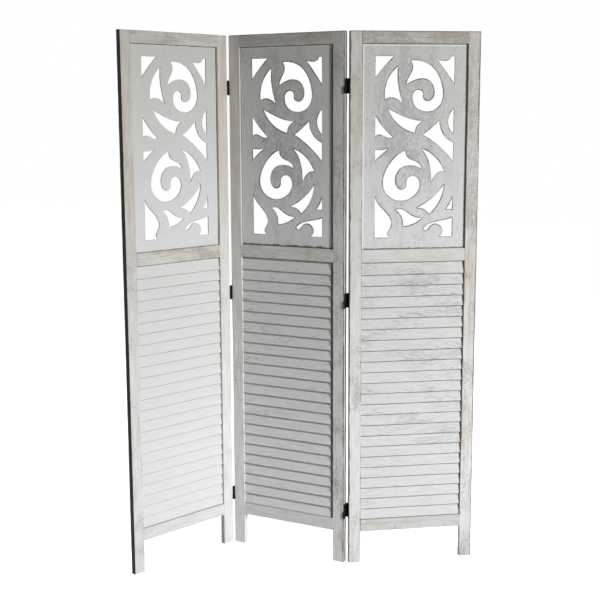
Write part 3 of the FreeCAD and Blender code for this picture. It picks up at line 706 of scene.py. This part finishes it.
def board_finish(leaf, seams, borders, middle):
    """Cool smooth wash, darker high up as painted shade, with a fine mottle, plank seams, smudges, a dark
    line at the foot, painted shade along the borders, and dark lines at the cuts that are partly painted
    shade.

    Seams are the places across the grain where two planks meet, borders those where the board meets
    the stiles, and the smudges gather about the middle.
    """
    smudged, shade = SMUDGED[leaf], BOARD_SHADE[leaf]
    make, tones = new_material(f"cool_wash_{leaf}")
    grain, place = make.attribute("grain", "Vector"), make.place()
    height, rise = make.height(), make.rise()
    streak = make.effect("wood_grain", Grain=grain, Along=95.0, Across=125.0)["Streak"]
    away = make.distance(make.stretch(place, *SMUDGE_SQUASH), middle * np.array(SMUDGE_SQUASH))
    gather = make.ramp(away, 0.03, 0.19, smudged, 0.2 * smudged)
    smudge = make.effect(
        "rubbed_smudge", Grain=grain, Place=grain, Along=90.0, Across=170.0, Patch=11.0,
        Amount=gather)["Mask"]
    # Wash, darker higher up as painted shade, with its mottle, smears and smudges.
    make.tone = make.mix(
        make.ramp(height, 0.6, 0.97), shaded(tones.board_wash, shade), shaded(tones.board_high, shade))
    cover = make.plus(make.times(gather, 0.24), 0.1)
    mottle = make.times(make.ramp(streak, 0.34, 0.66), cover)
    thin = make.plus(make.ramp(gather, 0.3, 0.9, 0.0, 0.08), mottle)
    make.cover(thin, tones.board_smudge)
    cloud = make.fibres(grain, 11.0, 30.0, 2.0, 0.5, 0.6)
    smear = make.times(make.ramp(cloud, 0.5, 0.68), make.times(gather, 0.65))
    make.cover(smear, tones.board_smudge)
    make.cover(make.times(smudge, min(0.55, smudged)), tones.board_smudge)
    # Seams: a line and a wider band, broken along the grain and fainter below.
    across = make.part(grain, "Y")
    broken = make.times(make.ramp(streak, 0.33, 0.58), make.ramp(height, 0.72, 0.84, 0.3, 1.0))
    for seam in seams:
        gap = make.math("ABSOLUTE", make.less(across, seam))
        line = make.ramp(gap, 0.0008, 0.0035, 0.08 + 0.65 * smudged, 0.0)
        band = make.ramp(gap, 0.003, 0.022, 0.4 * smudged, 0.0)
        make.cover(make.times(make.math("MAXIMUM", line, band), broken), tones.board_smudge)
    # Uneven dark line along the foot.
    wander = make.less(make.fibres(grain, 8.0, 45.0, 4.0, 0.6), 0.5)
    depth = FOOT_LINE[leaf]
    above = make.plus(make.less(rise, BOARD_FOOT), make.times(wander, -5.0 * depth))
    foot = make.ramp(above, depth, 2.0 * depth + 0.0012, 0.9, 0.0)
    make.cover(foot, shaded(tones.worn_edge, 0.5))
    # Pale line inside the left and upper borders, then painted shade along three borders, where the stiles
    # and the top rail shade the recessed board.
    below = make.less(BOARD_HEAD, rise)
    from_left = make.less(across, borders[0])
    from_right = make.less(borders[1], across)
    nearest = make.math("MINIMUM", from_left, below)
    pale = make.times(
        make.ramp(nearest, 0.002, 0.0035, 0.0, PALE_LINE[leaf]),
        make.ramp(nearest, 0.0055, 0.007, 1.0, 0.0))
    make.cover(pale, shaded(tones.board_wash, 1.2))
    uneven = make.times(wander, 0.004)
    for inside, start, end in (
            (from_left, 0.0006, 0.0024),
            (from_right, BORDER_SHADOW[leaf], BORDER_SHADOW[leaf] + LINE_FADE),
            (below, 0.0006, 0.003)):
        border_shade = make.ramp(make.plus(inside, uneven), start, end, 0.9, 0.0)
        make.cover(border_shade, shaded(tones.worn_edge, 0.4))
    # Dark line along the cuts: rubbed dirt, and partly painted shade of the sawn walls.
    rim = make.ramp(make.attribute("rim"), 0.05, 0.35, 0.0, min(1.0, 0.1 + 1.25 * smudged))
    rim = make.times(rim, make.ramp(streak, 0.3, 0.6, 0.45, 1.0))
    rim = make.times(rim, make.ramp(make.noise(place, 16.0), 0.4, 0.6, 0.3, 1.0))
    make.cover(rim, tones.worn_edge)
    return surface(make, make.ramp(streak, 0.3, 0.8, 0.5, 0.68), streak, 0.2, 0.0004, 0.35)


def sawn_finish():
    """Stained sawn edge of the cut-outs, darker along the saw marks."""
    make, tones = new_material("sawn_edge")
    grain = make.attribute("grain", "Vector")
    streak = make.effect("wood_grain", Grain=grain, Along=60.0, Across=300.0)["Streak"]
    share = make.ramp(streak, 0.35, 0.7, 0.0, 0.5)
    make.tone = make.mix(share, tones.cut_wall, shaded(tones.cut_wall, 0.5))
    return surface(make, 0.8, streak, 0.2, 0.0004, 0.2)


def slat_finish(leaf):
    """White wash, darker high up as painted shade, with grey marks in patches and dark lines at lips and
    borders that are partly painted shadow.
    """
    streaked, shade = STREAKED[leaf], SLAT_SHADE[leaf]
    make, tones = new_material(f"white_wash_{leaf}")
    grain, low = make.attribute("grain", "Vector"), make.attribute("low")
    height, rise = make.height(), make.rise()
    streak = make.effect("wood_grain", Grain=grain, Along=22.0, Across=260.0)["Streak"]
    rows = make.stretch(make.place(), 1.0, 1.0, 2.5)
    smudge = make.effect(
        "rubbed_smudge", Grain=grain, Place=rows, Along=45.0, Across=240.0, Patch=6.0,
        Amount=0.5 * streaked, Fill=0.2)["Mask"]
    # Wash, darker higher up as painted shade, with its streaks, and marks that are stronger high up and
    # near the lower edges.
    make.tone = make.mix(
        make.ramp(height, 0.1, 0.58), shaded(tones.slat_wash, shade), shaded(tones.slat_high, shade))
    make.cover(make.ramp(streak, 0.36, 0.7, 0.0, 0.1 + 0.14 * streaked), tones.slat_streak)
    rubbed = make.times(smudge, make.plus(0.5, make.times(low, 0.5)))
    rubbed = make.times(rubbed, make.ramp(height, 0.1, 0.5, 0.5, 1.0))
    make.cover(make.times(rubbed, min(0.6, 0.2 + streaked)), shaded(tones.slat_streak, 0.6))
    # Lines at the right ends, which are painted shadow of the right stile, along the lips, partly wear and
    # partly painted shadow beneath them, at the head, which is painted shadow of the middle rail, and at
    # the foot of the row.
    stain = make.ramp(make.attribute("stain"), 0.2, 0.8, 0.0, 0.9)
    make.cover(stain, shaded(tones.worn_edge, 0.4))
    lip = make.ramp(low, 0.92, 0.985, 0.0, 0.42 + 0.35 * streaked)
    make.cover(lip, shaded(tones.slat_streak, 0.5))
    dark = shaded(tones.worn_edge, 0.5)
    head = make.math("DIVIDE", rise, SLAT_HEAD)
    make.cover(make.ramp(head, 0.9958, 0.9974, 0.0, HEAD_SHADOW[leaf]), dark)
    foot = make.less(rise, SLAT_FOOT)
    make.cover(make.ramp(foot, 0.0012, 0.0032, 0.75, 0.0), dark)
    return surface(make, make.ramp(streak, 0.3, 0.8, 0.55, 0.75), streak, 0.25, 0.0004, 0.3)


def hinge_finish():
    """Black satin paint over steel, with a fine orange peel and faint rubbed spots."""
    make, tones = new_material("black_satin_paint")
    place = make.place()
    peel = make.noise(place, 900.0, 3.0, 0.5)
    rubbed = make.effect(
        "rubbed_smudge", Grain=place, Place=place, Along=300.0, Across=300.0, Patch=40.0,
        Amount=0.35)["Mask"]
    make.tone = make.mix(make.times(rubbed, 0.35), tones.hinge_paint, tones.hinge_rubbed)
    return surface(make, make.ramp(peel, 0.3, 0.7, 0.6, 0.75), peel, 0.12, 0.0002, 0.05)


def dowel_finish():
    """Plain beech with fine grain."""
    make, tones = new_material("plain_beech")
    streak = make.effect("wood_grain", Grain=make.place(), Along=30.0, Across=300.0)["Streak"]
    make.tone = make.mix(make.times(streak, 0.4), tones.dowel_wood, tones.bare_wood)
    return surface(make, 0.7, streak, 0.2, 0.0003, 0.3)


def cad_finish(material, names):
    """Give CAD nodes that stay in view their finish."""
    for name in names:
        mesh = frame["nodes"][name].data
        mesh.materials.clear()
        mesh.materials.append(material)


# Pieces.

def frame_bar(leaf, part, size, radius, seed, place, lying, end_wear=0.0):
    """A stile, or a rail, which is lying, in place of its CAD node: a rounded bar with its finish."""
    node = f"{leaf}_panel_{part}"
    points, quads, ends, edge = rounded_bar(
        *size, radius, bpy.context.scene.screen_sizes.edge_uneven, seed,
        worn=FRAME_PIECES[node][-1], end_wear=end_wear)
    spot = (laid_across(points) if lying else points) + np.array(place)
    marks = {"edge": edge, "grain": grain_of(points, seed)[0], "stain": painted_shade_of(node, spot)}
    piece = joined_piece(
        f"{node}_washed", [(to_frame(spot, leaf), quads, ends)], marks,
        frame_finish(node, LIGHT_TINT[leaf]), f"{leaf}_panel")
    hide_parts(node)


class SCREEN_OT_stiles(bpy.types.Operator):
    """Make the six stiles, which run on down as the legs."""
    bl_idname = "screen.stiles"
    bl_label = "Stiles"

    def execute(self, context):
        size = (LEAF_HEIGHT, STILE_WIDTH, LEAF_THICK)
        radius = context.scene.screen_sizes.edge_radius
        for count, (leaf, edge) in enumerate(product(LEAVES, SIDES)):
            middle = STILE_WIDTH / 2 if edge == "left" else LEAF_WIDTH - STILE_WIDTH / 2
            frame_bar(
                leaf, f"{edge}_stile", size, radius, STILE_SEED + BAR_SEED_STEP * count,
                (middle, 0.0, 0.0), False, STILE_END_WEAR)
        return {"FINISHED"}


class SCREEN_OT_rails(bpy.types.Operator):
    """Make the nine rails between the stiles."""
    bl_idname = "screen.rails"
    bl_label = "Rails"

    def execute(self, context):
        length = LEAF_WIDTH - 2 * STILE_WIDTH
        radius = RAIL_ROUNDING * context.scene.screen_sizes.edge_radius
        for count, (leaf, rail) in enumerate(product(LEAVES, RAILS)):
            low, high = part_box(f"centre_panel_{rail}")
            frame_bar(
                leaf, rail, (length, high.z - low.z, LEAF_THICK), radius,
                RAIL_SEED + BAR_SEED_STEP * count, (STILE_WIDTH, 0.0, (low.z + high.z) / 2), True)
        return {"FINISHED"}


def leaning_slat(leaf, sizes, lean, middle, seed):
    """One slat of a leaf, turned to its lean about its own length and raised to its middle height.

    Returns its points, quads and ends, and its attributes.  Low rises with the square of the way from the
    upper to the lower edge.  The painted shade passes 0.5 where the painted shadow of the right stile at
    the right end stops, a line that may narrow towards the lower edge.
    """
    length = LEAF_WIDTH - 2 * STILE_WIDTH + 2 * sizes.slat_housing
    points, quads, ends, _ = rounded_bar(
        length, sizes.slat_depth, sizes.slat_thick, SLAT_RADIUS, SLAT_UNEVEN, seed, SLAT_STEP, SLAT_ARC)
    down = 0.5 + points[:, 0] / sizes.slat_depth
    across, depth, height = laid_across(points).T
    depth, height = turned(depth, height, -lean)
    spot = np.stack([across + STILE_WIDTH - sizes.slat_housing, depth, height + middle], axis=1)
    inside = LEAF_WIDTH - STILE_WIDTH - spot[:, 0]
    line = BORDER_SHADOW[leaf] * (1.0 - LINE_TAPER[leaf] * down)
    marks = {
        "grain": grain_of(points, seed)[0],
        "low": np.clip(down, 0.0, 1.0) ** 2,
        "stain": 0.5 + (line + LINE_HALF - inside) / LINE_FADE,
    }
    return (to_frame(spot, leaf), quads, ends), marks


class SCREEN_OT_slats(bpy.types.Operator):
    """Make the louvre slats of each leaf, leaning with their lower edges to the front."""
    bl_idname = "screen.slats"
    bl_label = "Louvre slats"

    def execute(self, context):
        sizes = context.scene.screen_sizes
        drop = sizes.slat_thick * math.sin(sizes.slat_tilt)
        rise = sizes.slat_depth * math.cos(sizes.slat_tilt) + drop
        low, high = SLAT_ROW[0].z, SLAT_ROW[1].z
        pitch = (high - low - rise) / (sizes.slat_count - 1)
        for count, leaf in enumerate(LEAVES):
            draw = np.random.default_rng(LEAN_SEED + count)
            lean = sizes.slat_tilt + draw.uniform(-1.0, 1.0, sizes.slat_count) * sizes.slat_play
            first_seed = SLAT_SEED + LEAF_SEED_STEP * count
            slats = [
                leaning_slat(leaf, sizes, lean[row], low + rise / 2 + row * pitch, first_seed + row)
                for row in range(sizes.slat_count)]
            marks = {
                mark: np.concatenate([slat[1][mark] for slat in slats]) for mark in slats[0][1]}
            piece = joined_piece(
                f"{leaf}_panel_slats_washed", [slat[0] for slat in slats], marks,
                slat_finish(leaf), f"{leaf}_panel")
            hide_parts(f"{leaf}_panel_louvre_slats")
        return {"FINISHED"}


def board_mesh(node, name, outward, rim_width):
    """A copy of a board's CAD mesh, with a rim of even width along every edge of its two faces."""
    mesh = frame["nodes"][node].data.copy()
    mesh.name = name
    work = bmesh.new()
    work.from_mesh(mesh)
    bmesh.ops.remove_doubles(work, verts=work.verts, dist=MERGE_DISTANCE)
    work.normal_update()
    for side in (outward, -outward):
        flat = [face for face in work.faces if face.normal.dot(side) > FACING]
        bmesh.ops.inset_region(work, faces=flat, thickness=rim_width, use_boundary=True)
    work.to_mesh(mesh)
    work.free()
    mesh.shade_flat()
    return mesh


def fret_board(leaf, seed, sawn):
    """A fret board in place of its CAD node, with eased sawn edges and the attributes of its finish.

    Walls are the faces that look sideways, and the rim is 1 at their points and 0 elsewhere.
    """
    sizes = bpy.context.scene.screen_sizes
    node = f"{leaf}_panel_fret_board"
    turn = leaf_place(leaf)[1]
    outward = Vector((math.sin(turn), -math.cos(turn), 0.0))
    mesh = board_mesh(node, f"{node}_washed", outward, sizes.rim_width)
    local = to_leaf(read_field(mesh.vertices, "co", 3), leaf)
    grain, shift = grain_of(local, seed)
    walls = np.abs(read_field(mesh.polygons, "normal", 3) @ np.array(outward)) < FACING
    corners = read_field(mesh.loops, "vertex_index", kind=np.int32)
    counts = read_field(mesh.polygons, "loop_total", kind=np.int32)
    on_wall = np.bincount(corners[np.repeat(walls, counts)], minlength=len(mesh.vertices)) > 0
    put_attribute(mesh, "grain", grain)
    put_attribute(mesh, "rim", on_wall)
    seams = [shift[1] + share * LEAF_WIDTH for share in SEAM_SHARES]
    borders = [shift[1] + edge for edge in (STILE_WIDTH, LEAF_WIDTH - STILE_WIDTH)]
    low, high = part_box(node)
    middle = np.array([[SMUDGE_SHARE * LEAF_WIDTH, 0.0, (low.z + high.z) / 2 + SMUDGE_RISE]])
    mesh.materials.clear()
    mesh.materials.append(board_finish(leaf, seams, borders, to_frame(middle, leaf)[0]))
    mesh.materials.append(sawn)
    mesh.polygons.foreach_set("material_index", walls.astype(np.int32))
    piece = new_object(mesh.name, mesh)
    bevel = piece.modifiers.new("sawn_edge", "BEVEL")
    bevel.width = sizes.cut_bevel
    bevel.segments = 2
    bevel.material = 1
    bevel.limit_method = "ANGLE"
    bevel.angle_limit = SHARP_EDGE
    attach(piece, f"{leaf}_panel")
    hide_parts(node)


class SCREEN_OT_fret_boards(bpy.types.Operator):
    """Make the fret boards from their CAD outlines."""
    bl_idname = "screen.fret_boards"
    bl_label = "Fret boards"

    def execute(self, context):
        sawn = sawn_finish()
        for count, leaf in enumerate(LEAVES):
            fret_board(leaf, BOARD_SEED + count, sawn)
        return {"FINISHED"}


def hinge_sleeve(fold, hinge, paint):
    """Sleeve of a link on a half of its pin that has no knuckles: a barrel with a tongue to the link.

    The hinges of the two folds are a handed pair: the left ones have it on the upper half of the
    front pin, the right ones on the lower half of the back pin.
    """
    low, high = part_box(f"{fold}_{hinge}_hinge_link")
    radius = (high.x - low.x) / 2.0
    length = (high.z - low.z) / 2.0 - SLEEVE_CLEAR
    if fold == "left":
        depth, height, aside = low.y + radius, high.z - length, TONGUE_REACH / 2.0
    else:
        depth, height, aside = high.y - radius, low.z, -TONGUE_REACH / 2.0
    pin = np.array([low.x + radius, depth, height])
    barrel = turned_barrel(length, radius, SLEEVE_EASE)
    tongue = rounded_bar(
        length, TONGUE_THICK, TONGUE_REACH, SLEEVE_EASE / 2.0, 0.0, 0, length / 4.0)
    parts = [(barrel[0] + pin, *barrel[1:]), (tongue[0] + (0.0, aside, 0.0) + pin, *tongue[1:3])]
    joined_piece(
        f"{fold}_{hinge}_hinge_sleeve", parts, {}, paint, f"{fold}_hinge_links")


class SCREEN_OT_hinges(bpy.types.Operator):
    """Paint the hinge plates, links, pins and screws, and make the sleeves of the links."""
    bl_idname = "screen.hinges"
    bl_label = "Hinges"

    def execute(self, context):
        paint = hinge_finish()
        cad_finish(paint, [name for name in frame["nodes"] if "_hinge_" in name])
        for fold, hinge in product(SIDES, HINGES):
            hinge_sleeve(fold, hinge, paint)
        return {"FINISHED"}


class SCREEN_OT_dowels(bpy.types.Operator):
    """Finish the dowels in the frames' corners."""
    bl_idname = "screen.dowels"
    bl_label = "Dowels"

    def execute(self, context):
        cad_finish(dowel_finish(), [f"{leaf}_panel_dowels" for leaf in LEAVES])
        return {"FINISHED"}


# Studio.

def soft_lamp(name, power, side, place, aim, spread):
    """A square soft lamp that points from its place to its aim; a grid narrows its spread."""
    data = bpy.data.lights.new(name, "AREA")
    data.energy = power
    data.spread = spread
    data.size = side
    turn = (Vector(place) - Vector(aim)).to_track_quat("Z", "Y").to_matrix()
    new_object(name, data).matrix_world = Matrix.Translation(place) @ turn.to_4x4()


def straight_rays(make):
    """1 for rays that the camera sees straight, mirrored or through something clear, 0 for others."""
    path = make.node("ShaderNodeLightPath").outputs
    mirrored = make.math("MAXIMUM", path["Is Camera Ray"], path["Is Glossy Ray"])
    return make.math("MAXIMUM", mirrored, path["Is Transmission Ray"])


def studio_floor(stage):
    """Pale floor that shows white to the camera and keeps the screen's shadow."""
    mesh = bpy.data.meshes.new("studio_floor")
    corners = np.array([[-1, -1], [1, -1], [1, 1], [-1, 1]]) * FLOOR_REACH
    mesh.from_pydata(np.column_stack([corners, np.zeros(4)]).tolist(), [], [[0, 1, 2, 3]])
    new_object("studio_floor", mesh)
    make, _ = new_material("pale_floor")
    lit = make.node("ShaderNodeBsdfDiffuse", {"Color": stage.floor_colour}).outputs[0]
    away = make.distance(make.place())
    strength = make.ramp(away, GLOW_NEAR, GLOW_FAR, GLOW_LOW, GLOW_FULL)
    glow = make.node("ShaderNodeEmission", {"Color": WHITE, "Strength": strength}).outputs[0]
    seen = make.node("ShaderNodeAddShader", {0: lit, 1: glow}).outputs[0]
    both = make.node("ShaderNodeMixShader", {0: straight_rays(make), 1: lit, 2: seen}).outputs[0]
    make.node("ShaderNodeOutputMaterial", {"Surface": both})
    mesh.materials.append(make.material)


def studio_world(stage):
    """White backdrop for straight, mirrored and clear rays, and a low even light for the rest."""
    world = bpy.data.worlds.new("studio")
    world.use_nodes = True
    make = Nodes(world.node_tree)
    strength = make.ramp(straight_rays(make), 0.0, 1.0, stage.sky, 1.0)
    backdrop = make.node("ShaderNodeBackground", {"Color": WHITE, "Strength": strength})
    make.node("ShaderNodeOutputWorld", {"Surface": backdrop.outputs[0]})
    bpy.context.scene.world = world


def studio_camera(stage):
    """Camera at its place, with its heading, pitch and roll."""
    data = bpy.data.cameras.new("camera")
    data.lens = stage.lens
    data.sensor_width = SENSOR_WIDTH
    data.dof.use_dof = False
    camera = new_object("camera", data)
    turn = Matrix.Rotation(stage.camera_turn, 3, "Z")
    tip = Matrix.Rotation(math.pi / 2.0 - stage.camera_pitch, 3, "X")
    roll = Matrix.Rotation(-stage.camera_roll, 3, "Z")
    camera.matrix_world = Matrix.Translation(stage.camera_place) @ (turn @ tip @ roll).to_4x4()
    bpy.context.scene.camera = camera


class SCREEN_OT_stage(bpy.types.Operator):
    """Set up the floor, backdrop, lamps and camera."""
    bl_idname = "screen.stage"
    bl_label = "Studio"

    def execute(self, context):
        stage = context.scene.screen_stage
        context.scene.view_settings.view_transform = "Standard"
        studio_floor(stage)
        studio_world(stage)
        for name, (side, place, aim) in LAMPS.items():
            spread = stage.key_spread if name == "key" else math.pi
            soft_lamp(f"{name}_lamp", getattr(stage, f"{name}_power"), side, place, aim, spread)
        studio_camera(stage)
        return {"FINISHED"}


class SCREEN_PT_panel(bpy.types.Panel):
    """Sizes, colours and steps of the folding screen."""
    bl_idname = "SCREEN_PT_panel"
    bl_label = "Folding screen"
    bl_space_type = "VIEW_3D"
    bl_region_type = "UI"
    bl_category = "Screen"

    def draw(self, context):
        for holder in GROUPS:
            group = getattr(context.scene, holder)
            box = self.layout.box()
            for name in group.__annotations__:
                box.prop(group, name)
        for step in STEPS:
            self.layout.operator(step.bl_idname)


STEPS = (
    SCREEN_OT_stiles,
    SCREEN_OT_rails,
    SCREEN_OT_slats,
    SCREEN_OT_fret_boards,
    SCREEN_OT_hinges,
    SCREEN_OT_dowels,
    SCREEN_OT_stage,
)
GROUPS = {"screen_sizes": ScreenSizes, "screen_colours": ScreenColours, "screen_stage": ScreenStage}
CLASSES = (*GROUPS.values(), *STEPS, SCREEN_PT_panel)


def register():
    """Register the classes and hang the property groups on the scene."""
    for each in CLASSES:
        bpy.utils.register_class(each)
    for name, group in GROUPS.items():
        setattr(bpy.types.Scene, name, bpy.props.PointerProperty(type=group))


def unregister():
    """Take the property groups and classes away again."""
    for name in GROUPS:
        delattr(bpy.types.Scene, name)
    for each in reversed(CLASSES):
        bpy.utils.unregister_class(each)


def main():
    """Make every piece in order."""
    register()
    bpy.ops.screen.stiles()
    bpy.ops.screen.rails()
    bpy.ops.screen.slats()
    bpy.ops.screen.fret_boards()
    bpy.ops.screen.hinges()
    bpy.ops.screen.dowels()
    bpy.ops.screen.stage()


if __name__ == "__main__":
    main()
